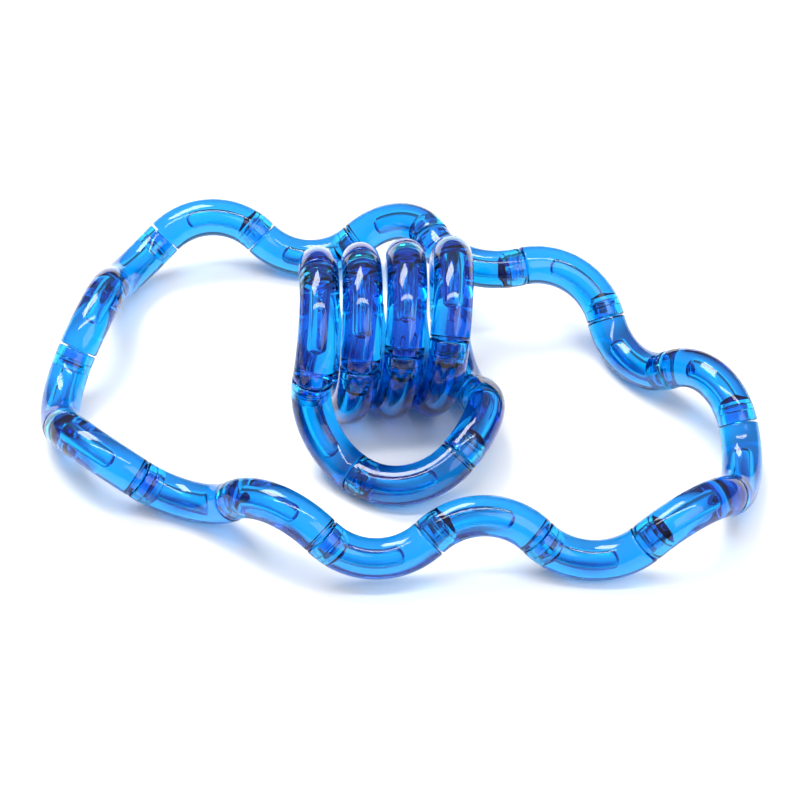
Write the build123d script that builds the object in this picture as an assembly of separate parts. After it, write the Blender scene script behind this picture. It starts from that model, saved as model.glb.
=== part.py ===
from build123d import *
import os
import numpy as np

os.makedirs("parts", exist_ok=True)

# One link is a quarter turn of round tube with a snap pin at its start
# and a socket in its end. All lengths are in millimetres.
TUBE_DIAMETER = 9.0
BEND_RADIUS = 16.5
LINKS_PER_LOOP = 18
EDGE_BREAK = 0.3
END_GAP = 0.3

# Snap pin and the socket it turns in. The snap is loose enough for a link to tip a few degrees.
PIN_RADIUS = 2.55
PIN_LENGTH = 4.2
PIN_LIP_RADIUS = 2.8
PIN_LIP_LENGTH = 0.9
PIN_LIP_START = 2.7
PIN_TIP_RADIUS = 1.9
PIN_SLOT_WIDTH = 0.9
PIN_SLOT_DEPTH = 3.0
PIN_PLAY = 0.27
SOCKET_DEPTH = 4.8
SOCKET_CONE_DEPTH = 1.1

# Blind moulding channel that follows the bend behind the socket.
CHANNEL_RADIUS = 1.5
CHANNEL_START_DEG = 28.0
CHANNEL_END_DEG = 73.0

# Twist at each seam, in degrees. At 0 two links make one longer arc; at 180 they make an S.
# The first value is the seam between the last link and the first.
RING_TWISTS = [98, -168, 129, 144, -144, -121, -179, -115, 117]
RING_TWISTS += [-122, -167, -177, 127, 167, 152, -100, 161, -161]
COIL_TWIST = -9
COIL_TURN_SEAMS = 12
COIL_TWISTS = [132, -12] + [COIL_TWIST] * COIL_TURN_SEAMS + [-16, 135, -44, -53]

# The links whose starts are the seams where the ring and the coil open.
RING_CLOSING = 13
COIL_CLOSING = 18

# How readily each seam gives way when a loop is snapped shut, against a free twist's 1.
TIP_GIVE = 1.0
COIL_TURN_GIVE = 0.1

# Where each loop's first seam lies on the table, the way its tube heads there,
# and the way that the first link bends.
RING_START = (-57.0, 46.8)
RING_HEADING = (0.69, 0.49, 0.54)
RING_BEND_WAY = (0.73, -0.35, -0.58)
COIL_START = (-19.5, -17.2)
COIL_HEADING = (0.103, 0.096, 0.99)
COIL_BEND_WAY = (-0.069, 0.993, -0.093)


def unit(vector):
    """The same direction, one unit long."""
    vector = np.array(vector, float)
    return vector / np.linalg.norm(vector)


def turn_about(axis, angle):
    """Rotation about axis 0, 1 or 2 (X, Y or Z), angle in radians."""
    turn = np.eye(4)
    i, j = (axis + 1) % 3, (axis + 2) % 3
    turn[i, i] = turn[j, j] = np.cos(angle)
    turn[i, j] = -np.sin(angle)
    turn[j, i] = np.sin(angle)
    return turn


def step_along_link():
    """Move from a link's start to its end: a quarter turn in the link's own XY plane."""
    step = turn_about(2, np.pi / 2)
    step[:3, 3] = (BEND_RADIUS, BEND_RADIUS, 0)
    return step


def walk_round(seams, first_frame):
    """One frame per link start, plus the frame reached after the last link.

    seams holds three rows of angles: each seam's twist, then its tip about Y and about Z.
    """
    frames = [first_frame]
    for number in range(1, LINKS_PER_LOOP + 1):
        frame = frames[-1] @ step_along_link()
        for axis in range(3):
            frame = frame @ turn_about(axis, seams[axis, number % LINKS_PER_LOOP])
        frames.append(frame)
    return frames


def miss_at_the_end(seams):
    """How far the loop is from closing: three lengths and three small turns."""
    last = walk_round(seams, np.eye(4))[-1]
    spin = last[:3, :3] - last[:3, :3].T
    turns = np.array([spin[2, 1], spin[0, 2], spin[1, 0]]) / 2
    return np.concatenate([last[:3, 3], turns * BEND_RADIUS])


def close_loop(twists_deg, twist_give):
    """Snap a loop shut: change the twists and tip the seams as little as possible."""
    wanted = np.zeros((3, LINKS_PER_LOOP))
    wanted[0] = np.radians(twists_deg)
    give = np.full((3, LINKS_PER_LOOP), TIP_GIVE)
    give[0] = twist_give
    give = give.ravel()
    seams = wanted.copy()
    for _ in range(12):
        miss = miss_at_the_end(seams)
        slope = np.zeros((6, seams.size))
        for k in range(seams.size):
            nudged = seams.copy()
            nudged.flat[k] += 1e-6
            slope[:, k] = (miss_at_the_end(nudged) - miss) / 1e-6
        to_mend = slope @ (seams - wanted).ravel() - miss
        pull = give[:, None] * slope.T
        change = pull @ np.linalg.solve(slope @ pull, to_mend)
        seams = wanted + change.reshape(seams.shape)
    return seams


def frame_from(start, heading, bend_way):
    """Frame at a seam: X along the tube, Y towards the inside of the bend."""
    x = unit(heading)
    y = unit(np.array(bend_way) - np.dot(bend_way, x) * x)
    frame = np.eye(4)
    frame[:3, 0] = x
    frame[:3, 1] = y
    frame[:3, 2] = np.cross(x, y)
    frame[:3, 3] = (*start, 0)
    return frame


def centreline(frames, points_per_link=9):
    """Points along the middle of the tube, all the way round."""
    points = []
    for frame in frames[:LINKS_PER_LOOP]:
        for angle in np.linspace(0, np.pi / 2, points_per_link)[:-1]:
            local = (BEND_RADIUS * np.sin(angle), BEND_RADIUS * (1 - np.cos(angle)), 0, 1)
            points.append((frame @ local)[:3])
    return np.array(points)


def resting_plane(points):
    """Upward normal of the three-point stand nearest to level that holds the centre of mass."""
    middle = points.mean(axis=0)
    low = points[np.argsort(points[:, 2])[: len(points) // 2]]
    best = None
    for i in range(len(low)):
        for j in range(i + 1, len(low)):
            normals = np.cross(low[j] - low[i], low[j + 1:] - low[i])
            for k, normal in enumerate(normals, start=j + 1):
                size = np.linalg.norm(normal)
                if size < 1e-6 or abs(normal[2]) < 0.85 * size:
                    continue
                up = normal / size * np.sign(normal[2])
                if best is not None and up[2] <= best[2]:
                    continue
                if ((points - low[i]) @ up).min() < -1e-6:
                    continue
                if stands_over(middle, low[i], low[j], low[k], up):
                    best = up
    return best


def stands_over(middle, a, b, c, up):
    """True when the centre of mass is above the triangle a, b, c."""
    sides = [np.dot(np.cross(q - p, middle - p), up) for p, q in ((a, b), (b, c), (c, a))]
    return min(sides) > 0 or max(sides) < 0


def stand_on_table(first_frame, seams):
    """Tilt a loop onto its three lowest points and bring those down to the table, Z = 0."""
    points = centreline(walk_round(seams, first_frame))
    up = resting_plane(points)
    axis = np.cross(up, (0, 0, 1))
    cross = np.array([[0, -axis[2], axis[1]], [axis[2], 0, -axis[0]], [-axis[1], axis[0], 0]])
    level = np.eye(3) + cross + cross @ cross / (1 + up[2])
    frame = first_frame.copy()
    frame[:3, :3] = level @ first_frame[:3, :3]
    points = centreline(walk_round(seams, frame))
    frame[2, 3] += TUBE_DIAMETER / 2 - points[:, 2].min()
    return walk_round(seams, frame)[:LINKS_PER_LOOP]


def lay_out(twists_deg, twist_give, start, heading, bend_way):
    """Start frames of one loop's links, closed and standing on the table."""
    seams = close_loop(twists_deg, twist_give)
    return stand_on_table(frame_from(start, heading, bend_way), seams)


def link_body():
    """Quarter-turn tube with broken rims, bending from +X towards +Y.

    It begins a hair after the seam, so that neighbours can turn past each other.
    """
    section = Plane.YZ * Circle(TUBE_DIAMETER / 2)
    centre_line = Axis((0, BEND_RADIUS, 0), (0, 0, 1))
    skipped = np.degrees(END_GAP / BEND_RADIUS)
    tube = revolve(section, centre_line, 90 - skipped)
    tube = turned_about_bend(tube, skipped)
    rims = tube.edges().filter_by(GeomType.CIRCLE)
    rims = [e for e in rims if abs(e.radius - TUBE_DIAMETER / 2) < 0.01]
    return chamfer(rims, EDGE_BREAK)


def turned_about_bend(shape, angle):
    """The shape carried on round the centre of the link's bend, angle in degrees."""
    return Pos(0, BEND_RADIUS, 0) * Rot(0, 0, angle) * Pos(0, -BEND_RADIUS, 0) * shape


def pin():
    """Split snap pin on the link's start, pointing back along -X."""
    lip_end = PIN_LIP_START + PIN_LIP_LENGTH
    outline = [(0.6, 0), (0.6, PIN_RADIUS), (-PIN_LIP_START, PIN_RADIUS)]
    outline += [(-PIN_LIP_START - 0.15, PIN_LIP_RADIUS), (-lip_end, PIN_LIP_RADIUS)]
    outline += [(-PIN_LENGTH, PIN_TIP_RADIUS), (-PIN_LENGTH, 0)]
    profile = make_face(Polyline(*outline, close=True))
    solid = revolve(profile, Axis.X, 360)
    slot = Pos(-PIN_LENGTH, 0, 0) * Box(2 * PIN_SLOT_DEPTH, PIN_SLOT_WIDTH, TUBE_DIAMETER)
    return solid - slot


def socket_space():
    """Hollow that the neighbour's pin turns in, opening at the link's end."""
    r = PIN_RADIUS + PIN_PLAY
    lip_r = PIN_LIP_RADIUS + PIN_PLAY
    lip_from = PIN_LIP_START - PIN_PLAY
    lip_to = PIN_LIP_START + PIN_LIP_LENGTH + 0.2
    outline = [(1.0, 0), (1.0, r), (-lip_from, r), (-lip_from - 0.15, lip_r)]
    outline += [(-lip_to, lip_r), (-lip_to - 0.15, r), (-SOCKET_DEPTH, r)]
    outline += [(-SOCKET_DEPTH - SOCKET_CONE_DEPTH, CHANNEL_RADIUS)]
    outline += [(-SOCKET_DEPTH - SOCKET_CONE_DEPTH, 0)]
    profile = make_face(Polyline(*outline, close=True))
    hollow = revolve(profile, Axis.X, 360)
    return Pos(BEND_RADIUS, BEND_RADIUS, 0) * Rot(0, 0, 90) * hollow


def channel():
    """Round-ended curved channel from the socket's bottom to past the middle of the bend."""
    section = Plane.YZ * Circle(CHANNEL_RADIUS)
    swing = CHANNEL_END_DEG - CHANNEL_START_DEG
    run = revolve(section, Axis((0, BEND_RADIUS, 0), (0, 0, 1)), swing)
    return turned_about_bend(run + Sphere(CHANNEL_RADIUS), CHANNEL_START_DEG)


def make_link(with_pin=True):
    """One whole link in its own frame: pin at the origin, socket at (R, R, 0)."""
    hollowed = link_body() - socket_space() - channel()
    return hollowed + pin() if with_pin else hollowed


def placed(link, frame):
    """The link carried to its place in the loop."""
    plane = Plane(origin=tuple(frame[:3, 3]), x_dir=tuple(frame[:3, 0]), z_dir=tuple(frame[:3, 2]))
    return plane.location * link


def centring(frame_lists):
    """Shift that puts the middle of everything's outline at X = 0, Y = 0."""
    points = np.concatenate([centreline(frames) for frames in frame_lists])
    middle = (points.min(axis=0) + points.max(axis=0)) / 2
    return np.array([-middle[0], -middle[1], 0])


ring_give = np.ones(LINKS_PER_LOOP)
coil_give = np.ones(LINKS_PER_LOOP)
coil_give[2:2 + COIL_TURN_SEAMS] = COIL_TURN_GIVE
ring_frames = lay_out(RING_TWISTS, ring_give, RING_START, RING_HEADING, RING_BEND_WAY)
coil_frames = lay_out(COIL_TWISTS, coil_give, COIL_START, COIL_HEADING, COIL_BEND_WAY)
shift = centring([ring_frames, coil_frames])
for frame in ring_frames + coil_frames:
    frame[:3, 3] += shift

# A loop opens where its closing link's pin is left out, so that the chain can be unfolded.
link = make_link()
closing_link = make_link(with_pin=False)
for loop, frames, closing in (("ring", ring_frames, RING_CLOSING), ("coil", coil_frames, COIL_CLOSING)):
    for number, frame in enumerate(frames, start=1):
        shape = closing_link if number == closing else link
        export_step(placed(shape, frame), f"parts/{loop}_link_{number:02d}.step")
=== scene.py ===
import math

import bmesh
import bpy
import numpy as np
from mathutils import Euler, Matrix, Vector


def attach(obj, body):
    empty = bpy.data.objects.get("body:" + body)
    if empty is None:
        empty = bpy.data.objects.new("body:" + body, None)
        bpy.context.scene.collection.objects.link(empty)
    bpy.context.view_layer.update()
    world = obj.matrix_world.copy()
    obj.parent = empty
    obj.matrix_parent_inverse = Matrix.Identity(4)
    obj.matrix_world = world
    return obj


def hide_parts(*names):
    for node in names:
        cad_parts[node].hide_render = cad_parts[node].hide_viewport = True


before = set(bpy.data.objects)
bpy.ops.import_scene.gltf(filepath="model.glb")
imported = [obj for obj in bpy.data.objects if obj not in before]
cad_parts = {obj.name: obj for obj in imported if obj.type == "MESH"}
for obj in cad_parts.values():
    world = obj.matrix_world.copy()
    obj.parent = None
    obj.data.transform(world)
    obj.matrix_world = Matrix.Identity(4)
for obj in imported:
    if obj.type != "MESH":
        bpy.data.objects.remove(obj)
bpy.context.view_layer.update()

bl_info = {
    "name": "Twisting Tube Puzzle",
    "version": (1, 0, 0),
    "blender": (4, 5, 0),
    "location": "3D View > Sidebar > Tube Puzzle",
    "description": "Two swivelling chains of clear quarter-bend tube links",
    "category": "Object",
}

LINKS = 18
MM = 0.001

# The two loops as they lie on the table: twist at each seam in degrees,
# first seam, heading and bend way of the first link. Lengths in millimetres.
BEND = 16.5
TUBE_RADIUS = 4.5
RING_TWISTS = [98, -168, 129, 144, -144, -121, -179, -115, 117]
RING_TWISTS += [-122, -167, -177, 127, 167, 152, -100, 161, -161]
COIL_TWISTS = [132, -12] + [-9] * 12 + [-16, 135, -44, -53]
RING_PLACE = ((-57.0, 46.8), (0.69, 0.49, 0.54), (0.73, -0.35, -0.58))
COIL_PLACE = ((-19.5, -17.2), (0.103, 0.096, 0.99), (-0.069, 0.993, -0.093))
COIL_FIRST_TURN_SEAM = 2
COIL_TURN_SEAMS = 12
COIL_TURN_GIVE = 0.1

# Where the pin and the socket change radius, measured from the seam, in millimetres.
PIN_TIP_RADIUS = 1.9
PIN_LIP_FRONT = 3.6
PIN_LIP_BACK = 2.85
PIN_SHANK_END = 2.7
SOCKET_GROOVE_START = 2.43
SOCKET_GROOVE_END = 3.8
SOCKET_STEP = 0.15
SOCKET_DEPTH = 4.8

# The channel inside the bend, in degrees round it, and how finely the skin is divided.
CHANNEL_NEAR_SOCKET = 70
CHANNEL_FAR_END = 28
RIM_STEPS = 4
BEND_STEPS = 24
CHANNEL_STEPS = 12
CHANNEL_TIP_STEPS = 6
SHARP_EDGE_DEG = 38


# ---------------------------------------------------------------- layout

def unit(vector):
    vector = np.array(vector, float)
    return vector / np.linalg.norm(vector)


def turn_about(axis, angle):
    """Rotation about axis 0, 1 or 2 (X, Y or Z), angle in radians."""
    turn = np.eye(4)
    i, j = (axis + 1) % 3, (axis + 2) % 3
    turn[i, i] = turn[j, j] = math.cos(angle)
    turn[i, j] = -math.sin(angle)
    turn[j, i] = math.sin(angle)
    return turn


def step_along_link():
    step = turn_about(2, math.pi / 2)
    step[:3, 3] = (BEND, BEND, 0)
    return step


def walk_round(seams, first_frame):
    """One frame per link start, plus the frame after the last link."""
    frames = [first_frame]
    for number in range(1, LINKS + 1):
        link_frame = frames[-1] @ step_along_link()
        for axis in range(3):
            link_frame = link_frame @ turn_about(axis, seams[axis, number % LINKS])
        frames.append(link_frame)
    return frames


def miss_at_the_end(seams):
    """How far the loop is from closing: three lengths and three small turns."""
    last = walk_round(seams, np.eye(4))[-1]
    spin = last[:3, :3] - last[:3, :3].T
    turns = np.array([spin[2, 1], spin[0, 2], spin[1, 0]]) / 2
    return np.concatenate([last[:3, 3], turns * BEND])


def close_loop(twists_deg, twist_give):
    """Snap a loop shut with the smallest twists and tips at its seams."""
    wanted = np.zeros((3, LINKS))
    wanted[0] = np.radians(twists_deg)
    give = np.ones((3, LINKS))
    give[0] = twist_give
    give = give.ravel()
    seams = wanted.copy()
    for _ in range(12):
        miss = miss_at_the_end(seams)
        slope = np.zeros((6, seams.size))
        for k in range(seams.size):
            nudged = seams.copy()
            nudged.flat[k] += 1e-6
            slope[:, k] = (miss_at_the_end(nudged) - miss) / 1e-6
        to_mend = slope @ (seams - wanted).ravel() - miss
        pull = give[:, None] * slope.T
        change = pull @ np.linalg.solve(slope @ pull, to_mend)
        seams = wanted + change.reshape(seams.shape)
    return seams


def frame_from(start, heading, bend_way):
    x = unit(heading)
    y = unit(np.array(bend_way) - np.dot(bend_way, x) * x)
    link_frame = np.eye(4)
    link_frame[:3, 0] = x
    link_frame[:3, 1] = y
    link_frame[:3, 2] = np.cross(x, y)
    link_frame[:3, 3] = (*start, 0)
    return link_frame


def centreline(frames, points_per_link=9):
    points = []
    for link_frame in frames[:LINKS]:
        for angle in np.linspace(0, math.pi / 2, points_per_link)[:-1]:
            local = (BEND * math.sin(angle), BEND * (1 - math.cos(angle)), 0, 1)
            points.append((link_frame @ local)[:3])
    return np.array(points)


def stands_over(middle, a, b, c, up):
    """True when the centre of mass is above the triangle a, b, c."""
    sides = [np.dot(np.cross(q - p, middle - p), up) for p, q in ((a, b), (b, c), (c, a))]
    return min(sides) > 0 or max(sides) < 0


def resting_plane(points):
    """Upward normal of the stand nearest to level that holds the centre of mass."""
    middle = points.mean(axis=0)
    low = points[np.argsort(points[:, 2])[: len(points) // 2]]
    best = None
    for i in range(len(low)):
        for j in range(i + 1, len(low)):
            normals = np.cross(low[j] - low[i], low[j + 1:] - low[i])
            for k, normal in enumerate(normals, start=j + 1):
                size = np.linalg.norm(normal)
                if size < 1e-6 or abs(normal[2]) < 0.85 * size:
                    continue
                up = normal / size * np.sign(normal[2])
                if best is not None and up[2] <= best[2]:
                    continue
                if ((points - low[i]) @ up).min() < -1e-6:
                    continue
                if stands_over(middle, low[i], low[j], low[k], up):
                    best = up
    return best


def lay_out(twists_deg, twist_give, place):
    """Start frames of one loop's links, closed and standing on the table."""
    seams = close_loop(twists_deg, twist_give)
    first = frame_from(*place)
    up = resting_plane(centreline(walk_round(seams, first)))
    axis = np.cross(up, (0, 0, 1))
    cross = np.array([[0, -axis[2], axis[1]], [axis[2], 0, -axis[0]], [-axis[1], axis[0], 0]])
    first[:3, :3] = (np.eye(3) + cross + cross @ cross / (1 + up[2])) @ first[:3, :3]
    points = centreline(walk_round(seams, first))
    first[2, 3] += TUBE_RADIUS - points[:, 2].min()
    return walk_round(seams, first)[:LINKS]


def both_loops():
    """Frames of the ring's and the coil's links, centred on the row frame, in millimetres."""
    coil_give = np.ones(LINKS)
    turns_end = COIL_FIRST_TURN_SEAM + COIL_TURN_SEAMS
    coil_give[COIL_FIRST_TURN_SEAM:turns_end] = COIL_TURN_GIVE
    ring = lay_out(RING_TWISTS, np.ones(LINKS), RING_PLACE)
    coil = lay_out(COIL_TWISTS, coil_give, COIL_PLACE)
    points = np.concatenate([centreline(ring), centreline(coil)])
    middle = (points.min(axis=0) + points.max(axis=0)) / 2
    for link_frame in ring + coil:
        link_frame[:2, 3] -= middle[:2]
    return ring, coil


# ---------------------------------------------------------------- settings

class PuzzleLinkSettings(bpy.types.PropertyGroup):
    """Sizes of one link."""

    end_gap: bpy.props.FloatProperty(
        name="End gap", description="Hair of space at each seam",
        default=0.3 * MM, unit="LENGTH", subtype="DISTANCE", precision=5)
    edge_round: bpy.props.FloatProperty(
        name="Edge round", description="Radius of the tube's end edges",
        default=0.35 * MM, unit="LENGTH", subtype="DISTANCE", precision=5)
    pin_radius: bpy.props.FloatProperty(
        name="Pin radius", description="Radius of the snap pin's shank",
        default=2.55 * MM, unit="LENGTH", subtype="DISTANCE", precision=5)
    pin_lip_radius: bpy.props.FloatProperty(
        name="Pin lip radius", description="Radius of the snap pin's lip",
        default=2.8 * MM, unit="LENGTH", subtype="DISTANCE", precision=5)
    pin_length: bpy.props.FloatProperty(
        name="Pin length", description="How far the pin stands out of the link",
        default=4.2 * MM, unit="LENGTH", subtype="DISTANCE", precision=5)
    pin_slot: bpy.props.FloatProperty(
        name="Pin slot", description="Width of the split in the pin",
        default=0.9 * MM, unit="LENGTH", subtype="DISTANCE", precision=5)
    socket_play: bpy.props.FloatProperty(
        name="Socket play", description="Clearance between pin and socket",
        default=0.27 * MM, unit="LENGTH", subtype="DISTANCE", precision=5)
    channel_radius: bpy.props.FloatProperty(
        name="Channel radius", description="Radius of the blind channel in the bend",
        default=1.5 * MM, unit="LENGTH", subtype="DISTANCE", precision=5)
    sides: bpy.props.IntProperty(
        name="Sides", description="Facets round the tube", default=48, min=12, max=96)


class PuzzlePlasticSettings(bpy.types.PropertyGroup):
    """Look of the clear plastic."""

    tint: bpy.props.FloatVectorProperty(
        name="Tint", description="Colour that the surface gives to light passing it",
        default=(0.08, 0.79, 0.98), subtype="COLOR", size=3, min=0, max=1)
    deep_tint: bpy.props.FloatVectorProperty(
        name="Deep tint", description="Colour of the faint flow marks",
        default=(0.05, 0.69, 0.97), subtype="COLOR", size=3, min=0, max=1)
    body_tint: bpy.props.FloatVectorProperty(
        name="Body tint", description="Colour that thick plastic takes on",
        default=(0.0, 0.58, 0.885), subtype="COLOR", size=3, min=0, max=1)
    body_density: bpy.props.FloatProperty(
        name="Body density", description="How quickly thick plastic darkens, per metre",
        default=270.0, min=0, max=2000)
    transmission: bpy.props.FloatProperty(
        name="Transmission", description="Share of light that passes through",
        default=1.0, min=0, max=1, subtype="FACTOR")
    roughness: bpy.props.FloatProperty(
        name="Roughness", description="Roughness of the moulded surface",
        default=0.06, min=0, max=1, subtype="FACTOR")
    reflection: bpy.props.FloatProperty(
        name="Reflection", description="Strength of reflections; 0.5 is that of plain glass",
        default=0.25, min=0, max=1, subtype="FACTOR")
    index: bpy.props.FloatProperty(
        name="Refractive index", description="Refractive index of the plastic",
        default=1.46, min=1, max=2)


class PuzzleStageSettings(bpy.types.PropertyGroup):
    """Camera, light and floor."""

    camera_tilt: bpy.props.FloatProperty(
        name="Camera height angle", description="How steeply the camera looks down",
        default=math.radians(42.83), subtype="ANGLE", unit="ROTATION")
    camera_distance: bpy.props.FloatProperty(
        name="Camera distance", description="Camera to the point that it looks at",
        default=645.3 * MM, unit="LENGTH", subtype="DISTANCE")
    camera_lens: bpy.props.FloatProperty(
        name="Lens", description="Focal length on a 36 mm sensor",
        default=125.07, subtype="DISTANCE_CAMERA", unit="CAMERA")
    look_at: bpy.props.FloatVectorProperty(
        name="Look at", description="Point on the table at the picture's centre",
        default=(0.39 * MM, 3.56 * MM, 0.0), size=3, subtype="TRANSLATION", unit="LENGTH")
    floor: bpy.props.FloatVectorProperty(
        name="Floor colour", description="Colour of the table",
        default=(0.95, 0.95, 0.95), subtype="COLOR", size=3, min=0, max=1)
    horizon: bpy.props.FloatProperty(
        name="Horizon light", description="Brightness of the studio near the horizon",
        default=0.20, min=0, max=2)
    overhead: bpy.props.FloatProperty(
        name="Overhead light", description="Brightness of the studio high above the table",
        default=0.68, min=0, max=2)


# ---------------------------------------------------------------- materials

def plastic_material(settings):
    """Tinted clear plastic, with faint flow marks that follow the object's own space."""
    material = bpy.data.materials.get("clear blue plastic")
    if material:
        return material
    material = bpy.data.materials.new("clear blue plastic")
    material.use_nodes = True
    nodes, links = material.node_tree.nodes, material.node_tree.links
    shader = nodes["Principled BSDF"]
    shader.inputs["Transmission Weight"].default_value = settings.transmission
    shader.inputs["Roughness"].default_value = settings.roughness
    shader.inputs["IOR"].default_value = settings.index
    shader.inputs["Specular IOR Level"].default_value = settings.reflection
    coordinates = nodes.new("ShaderNodeTexCoord")
    noise = nodes.new("ShaderNodeTexNoise")
    noise.inputs["Scale"].default_value = 55.0
    noise.inputs["Detail"].default_value = 1.0
    ramp = nodes.new("ShaderNodeValToRGB")
    ramp.color_ramp.elements[0].position = 0.3
    ramp.color_ramp.elements[1].position = 0.7
    ramp.color_ramp.elements[0].color = (*settings.deep_tint, 1)
    ramp.color_ramp.elements[1].color = (*settings.tint, 1)
    links.new(coordinates.outputs["Object"], noise.inputs["Vector"])
    links.new(noise.outputs["Fac"], ramp.inputs["Fac"])
    links.new(ramp.outputs["Color"], shader.inputs["Base Color"])
    body = nodes.new("ShaderNodeVolumeAbsorption")
    body.inputs["Color"].default_value = (*settings.body_tint, 1)
    body.inputs["Density"].default_value = settings.body_density
    links.new(body.outputs["Volume"], nodes["Material Output"].inputs["Volume"])
    return material


def floor_material(colour):
    material = bpy.data.materials.new("pale table")
    material.use_nodes = True
    shader = material.node_tree.nodes["Principled BSDF"]
    shader.inputs["Base Color"].default_value = (*colour, 1)
    shader.inputs["Roughness"].default_value = 0.7
    return material


# ---------------------------------------------------------------- one link

def arc_ring(angle):
    """Centre and two directions of the tube's cross-section at an angle round the bend."""
    centre = Vector((BEND * math.sin(angle), BEND * (1 - math.cos(angle)), 0)) * MM
    inward = Vector((-math.sin(angle), math.cos(angle), 0))
    return centre, inward


def link_profile(settings):
    """Cross-sections of a link in order, from the pin's tip over the outside,
    in at the socket and along the channel: each is a centre, a direction and a radius."""
    mm = {name: getattr(settings, name) / MM for name in settings.bl_rna.properties.keys()
          if name not in ("rna_type", "name", "sides")}
    profile = []

    def on_pin(x, radius):
        profile.append((Vector((x, 0, 0)) * MM, Vector((0, 1, 0)), radius * MM))

    def on_arc(length, radius):
        profile.append((*arc_ring(length / BEND), radius * MM))

    def in_socket(depth, radius):
        profile.append((Vector((BEND, BEND - depth, 0)) * MM, Vector((-1, 0, 0)), radius * MM))

    whole = BEND * math.pi / 2
    gap, rounding = mm["end_gap"], mm["edge_round"]
    on_pin(-mm["pin_length"], 0)
    on_pin(-mm["pin_length"], PIN_TIP_RADIUS)
    on_pin(-PIN_LIP_FRONT, mm["pin_lip_radius"])
    on_pin(-PIN_LIP_BACK, mm["pin_lip_radius"])
    on_pin(-PIN_SHANK_END, mm["pin_radius"])
    on_arc(gap, mm["pin_radius"])
    for k in range(RIM_STEPS + 1):
        turn = math.pi / 2 * k / RIM_STEPS
        on_arc(gap + rounding * (1 - math.cos(turn)),
               TUBE_RADIUS - rounding * (1 - math.sin(turn)))
    for k in range(1, BEND_STEPS):
        along = (whole - gap - 2 * rounding) * k / BEND_STEPS
        on_arc(gap + rounding + along, TUBE_RADIUS)
    for k in range(RIM_STEPS, -1, -1):
        turn = math.pi / 2 * k / RIM_STEPS
        on_arc(whole - rounding * (1 - math.cos(turn)),
               TUBE_RADIUS - rounding * (1 - math.sin(turn)))
    bore = mm["pin_radius"] + mm["socket_play"]
    groove = mm["pin_lip_radius"] + mm["socket_play"]
    in_socket(0, bore)
    in_socket(SOCKET_GROOVE_START, bore)
    in_socket(SOCKET_GROOVE_START + SOCKET_STEP, groove)
    in_socket(SOCKET_GROOVE_END, groove)
    in_socket(SOCKET_GROOVE_END + SOCKET_STEP, bore)
    in_socket(SOCKET_DEPTH, bore)
    channel = mm["channel_radius"]
    first = BEND * math.radians(CHANNEL_NEAR_SOCKET)
    last = BEND * math.radians(CHANNEL_FAR_END)
    for k in range(CHANNEL_STEPS + 1):
        on_arc(first + (last - first) * k / CHANNEL_STEPS, channel)
    for k in range(1, CHANNEL_TIP_STEPS):
        turn = math.pi / 2 * k / CHANNEL_TIP_STEPS
        on_arc(last - channel * math.sin(turn), channel * math.cos(turn))
    on_arc(last - channel, 0)
    return profile


def lathe_along(profile, sides):
    """Closed skin through the cross-sections; a radius of 0 closes it to a point."""
    mesh = bmesh.new()
    rings = []
    for centre, inward, radius in profile:
        if radius == 0:
            rings.append([mesh.verts.new(centre)])
            continue
        ring = []
        for k in range(sides):
            turn = 2 * math.pi * k / sides
            offset = inward * math.cos(turn) + Vector((0, 0, 1)) * math.sin(turn)
            ring.append(mesh.verts.new(centre + offset * radius))
        rings.append(ring)
    for before, after in zip(rings, rings[1:]):
        for k in range(sides):
            corners = [before[k % len(before)], before[(k + 1) % len(before)]]
            corners += [after[(k + 1) % len(after)], after[k % len(after)]]
            mesh.faces.new(list(dict.fromkeys(corners)))
    bmesh.ops.recalc_face_normals(mesh, faces=mesh.faces)
    return mesh


def mesh_object(name, mesh):
    data = bpy.data.meshes.new(name)
    mesh.to_mesh(data)
    mesh.free()
    thing = bpy.data.objects.new(name, data)
    bpy.context.scene.collection.objects.link(thing)
    return thing


def pattern_link(settings):
    """The link that all others are copies of, with its pin split by a slot."""
    pattern = mesh_object("link pattern", lathe_along(link_profile(settings), settings.sides))
    cutter = bmesh.new()
    bmesh.ops.create_cube(cutter, size=1)
    size = Vector((6 * MM, settings.pin_slot, 9 * MM))
    middle = Vector((-settings.pin_length, 0, 0))
    bmesh.ops.transform(cutter, matrix=Matrix.LocRotScale(middle, None, size), verts=cutter.verts)
    knife = mesh_object("slot", cutter)
    cut = pattern.modifiers.new("slot", "BOOLEAN")
    cut.operation = "DIFFERENCE"
    cut.solver = "EXACT"
    cut.object = knife
    split = bpy.data.meshes.new_from_object(
        pattern.evaluated_get(bpy.context.evaluated_depsgraph_get()))
    pattern.modifiers.clear()
    pattern.data = split
    bpy.data.objects.remove(knife)
    split.shade_smooth()
    split.set_sharp_from_angle(angle=math.radians(SHARP_EDGE_DEG))
    if len(split.polygons) < 100:
        raise RuntimeError("the slot cut ate the link")
    return pattern


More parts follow.
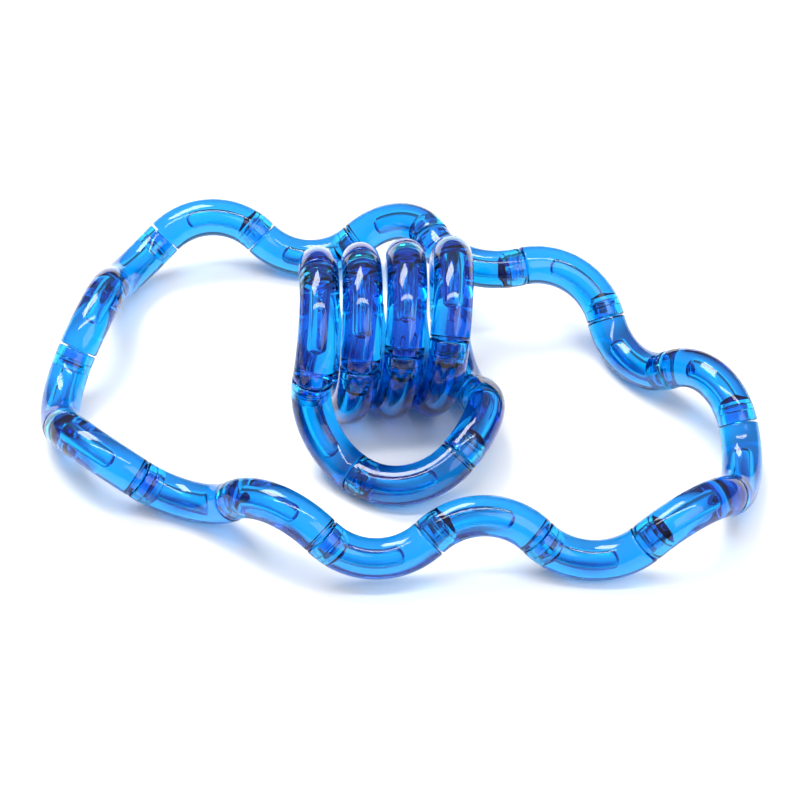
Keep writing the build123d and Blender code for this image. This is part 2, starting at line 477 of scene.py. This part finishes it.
def placing_tree():
    """Geometry Nodes tree that puts a copy of a link at a place and gives it its plastic."""
    tree = bpy.data.node_groups.get("place a link")
    if tree:
        return tree
    tree = bpy.data.node_groups.new("place a link", "GeometryNodeTree")
    face = tree.interface
    face.new_socket("Link", in_out="INPUT", socket_type="NodeSocketObject")
    face.new_socket("Place", in_out="INPUT", socket_type="NodeSocketVector")
    face.new_socket("Turn", in_out="INPUT", socket_type="NodeSocketVector")
    face.new_socket("Plastic", in_out="INPUT", socket_type="NodeSocketMaterial")
    face.new_socket("Geometry", in_out="OUTPUT", socket_type="NodeSocketGeometry")
    nodes, links = tree.nodes, tree.links
    given = nodes.new("NodeGroupInput")
    result = nodes.new("NodeGroupOutput")
    link = nodes.new("GeometryNodeObjectInfo")
    link.inputs["As Instance"].default_value = True
    point = nodes.new("GeometryNodePoints")
    point.inputs["Count"].default_value = 1
    turned = nodes.new("FunctionNodeEulerToRotation")
    copies = nodes.new("GeometryNodeInstanceOnPoints")
    real = nodes.new("GeometryNodeRealizeInstances")
    coat = nodes.new("GeometryNodeSetMaterial")
    links.new(given.outputs["Link"], link.inputs["Object"])
    links.new(given.outputs["Place"], point.inputs["Position"])
    links.new(given.outputs["Turn"], turned.inputs["Euler"])
    links.new(point.outputs["Points"], copies.inputs["Points"])
    links.new(link.outputs["Geometry"], copies.inputs["Instance"])
    links.new(turned.outputs["Rotation"], copies.inputs["Rotation"])
    links.new(copies.outputs["Instances"], real.inputs["Geometry"])
    links.new(real.outputs["Geometry"], coat.inputs["Geometry"])
    links.new(given.outputs["Plastic"], coat.inputs["Material"])
    links.new(coat.outputs["Geometry"], result.inputs["Geometry"])
    return tree


def place_link(name, pattern, link_frame, material):
    """One link as a plain mesh in its place, riding on its body."""
    tree = placing_tree()
    holder = bpy.data.objects.new("holder", bpy.data.meshes.new("holder"))
    bpy.context.scene.collection.objects.link(holder)
    nodes = holder.modifiers.new("place", "NODES")
    nodes.node_group = tree
    turn = Matrix(link_frame[:3, :3].tolist()).to_euler()
    values = {"Link": pattern, "Place": Vector(link_frame[:3, 3]) * MM,
              "Turn": Vector(turn), "Plastic": material}
    for socket in tree.interface.items_tree:
        if socket.in_out == "INPUT":
            nodes[socket.identifier] = values[socket.name]
    bpy.context.view_layer.update()
    data = bpy.data.meshes.new_from_object(
        holder.evaluated_get(bpy.context.evaluated_depsgraph_get()))
    bpy.data.objects.remove(holder)
    data.name = name
    if not data.materials:
        data.materials.append(material)
    piece = bpy.data.objects.new("look_" + name, data)
    bpy.context.scene.collection.objects.link(piece)
    if len(data.polygons) != len(pattern.data.polygons):
        raise RuntimeError(f"{name} came out with the wrong faces")
    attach(piece, name)
    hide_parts(name)
    return piece


def build_loop(context, loop, frames):
    scene = context.scene
    material = plastic_material(scene.puzzle_plastic)
    pattern = pattern_link(scene.puzzle_link)
    for number, link_frame in enumerate(frames, start=1):
        place_link(f"{loop}_link_{number:02d}", pattern, link_frame, material)
    bpy.data.objects.remove(pattern)


# ---------------------------------------------------------------- operators

class PUZZLE_OT_ring(bpy.types.Operator):
    """Build the links of the wavy outer ring"""

    bl_idname = "puzzle.ring"
    bl_label = "Ring Links"

    def execute(self, context):
        build_loop(context, "ring", both_loops()[0])
        return {"FINISHED"}


class PUZZLE_OT_coil(bpy.types.Operator):
    """Build the links of the wound coil and its front loop"""

    bl_idname = "puzzle.coil"
    bl_label = "Coil Links"

    def execute(self, context):
        build_loop(context, "coil", both_loops()[1])
        return {"FINISHED"}


def area_light(name, place, target, size, power, colour=(1, 1, 1)):
    data = bpy.data.lights.new(name, "AREA")
    data.shape = "RECTANGLE"
    data.size, data.size_y = size
    data.energy = power
    data.color = colour
    lamp = bpy.data.objects.new(name, data)
    bpy.context.scene.collection.objects.link(lamp)
    lamp.location = place
    lamp.rotation_euler = (Vector(target) - Vector(place)).to_track_quat("-Z", "Y").to_euler()
    return lamp


def studio_world(horizon, overhead):
    """Soft white surroundings that grow brighter from the horizon upwards."""
    world = bpy.data.worlds.new("studio")
    world.use_nodes = True
    nodes, links = world.node_tree.nodes, world.node_tree.links
    way = nodes.new("ShaderNodeTexCoord")
    height = nodes.new("ShaderNodeSeparateXYZ")
    ramp = nodes.new("ShaderNodeValToRGB")
    for element, position, level in zip(ramp.color_ramp.elements, (0.05, 0.75), (horizon, overhead)):
        element.position = position
        element.color = (level, level, level, 1)
    links.new(way.outputs["Generated"], height.inputs["Vector"])
    links.new(height.outputs["Z"], ramp.inputs["Fac"])
    links.new(ramp.outputs["Color"], nodes["Background"].inputs["Color"])
    return world


class PUZZLE_OT_stage(bpy.types.Operator):
    """Lay the pale table and set the lights and the camera"""

    bl_idname = "puzzle.stage"
    bl_label = "Stage"

    def execute(self, context):
        settings = context.scene.puzzle_stage
        half = 3.0
        corners = [(-half, -half, 0), (half, -half, 0), (half, half, 0), (-half, half, 0)]
        data = bpy.data.meshes.new("table")
        data.from_pydata(corners, [], [(0, 1, 2, 3)])
        data.materials.append(floor_material(settings.floor))
        table = bpy.data.objects.new("table", data)
        context.scene.collection.objects.link(table)
        lamps = [
            area_light("key", (-0.25, 0.35, 0.75), (0, 0, 0), (0.5, 0.3), 7.0),
            area_light("fill", (0.5, -0.5, 0.6), (0, 0, 0), (0.6, 0.6), 3.0),
            area_light("strip", (0.0, -0.1, 0.8), (0, 0, 0), (0.9, 0.08), 3.0),
        ]
        context.scene.world = studio_world(settings.horizon, settings.overhead)
        context.scene.view_settings.view_transform = "Standard"
        data = bpy.data.cameras.new("camera")
        data.lens = settings.camera_lens
        data.sensor_width = 36.0
        data.clip_start = 0.01
        camera = bpy.data.objects.new("camera", data)
        context.scene.collection.objects.link(camera)
        tilt, distance = settings.camera_tilt, settings.camera_distance
        back = Vector((0, -math.cos(tilt), math.sin(tilt))) * distance
        camera.location = Vector(settings.look_at) + back
        camera.rotation_euler = Euler((math.pi / 2 - tilt, 0, 0))
        context.scene.camera = camera
        return {"FINISHED"}


class PUZZLE_PT_panel(bpy.types.Panel):
    """Builds and sizes of the tube puzzle"""

    bl_idname = "PUZZLE_PT_panel"
    bl_label = "Tube Puzzle"
    bl_space_type = "VIEW_3D"
    bl_region_type = "UI"
    bl_category = "Tube Puzzle"

    def draw(self, context):
        for operator in OPERATORS:
            self.layout.operator(operator.bl_idname)
        for name in GROUPS:
            box = self.layout.box()
            group = getattr(context.scene, name)
            for key in group.bl_rna.properties.keys():
                if key not in ("rna_type", "name"):
                    box.prop(group, key)


OPERATORS = (PUZZLE_OT_ring, PUZZLE_OT_coil, PUZZLE_OT_stage)
GROUPS = {
    "puzzle_link": PuzzleLinkSettings,
    "puzzle_plastic": PuzzlePlasticSettings,
    "puzzle_stage": PuzzleStageSettings,
}


def register():
    for cls in (*GROUPS.values(), *OPERATORS, PUZZLE_PT_panel):
        bpy.utils.register_class(cls)
    for name, cls in GROUPS.items():
        setattr(bpy.types.Scene, name, bpy.props.PointerProperty(type=cls))


def unregister():
    for name in GROUPS:
        delattr(bpy.types.Scene, name)
    for cls in reversed((*GROUPS.values(), *OPERATORS, PUZZLE_PT_panel)):
        bpy.utils.unregister_class(cls)


def main():
    register()
    bpy.ops.puzzle.ring()
    bpy.ops.puzzle.coil()
    bpy.ops.puzzle.stage()


if __name__ == "__main__":
    main()
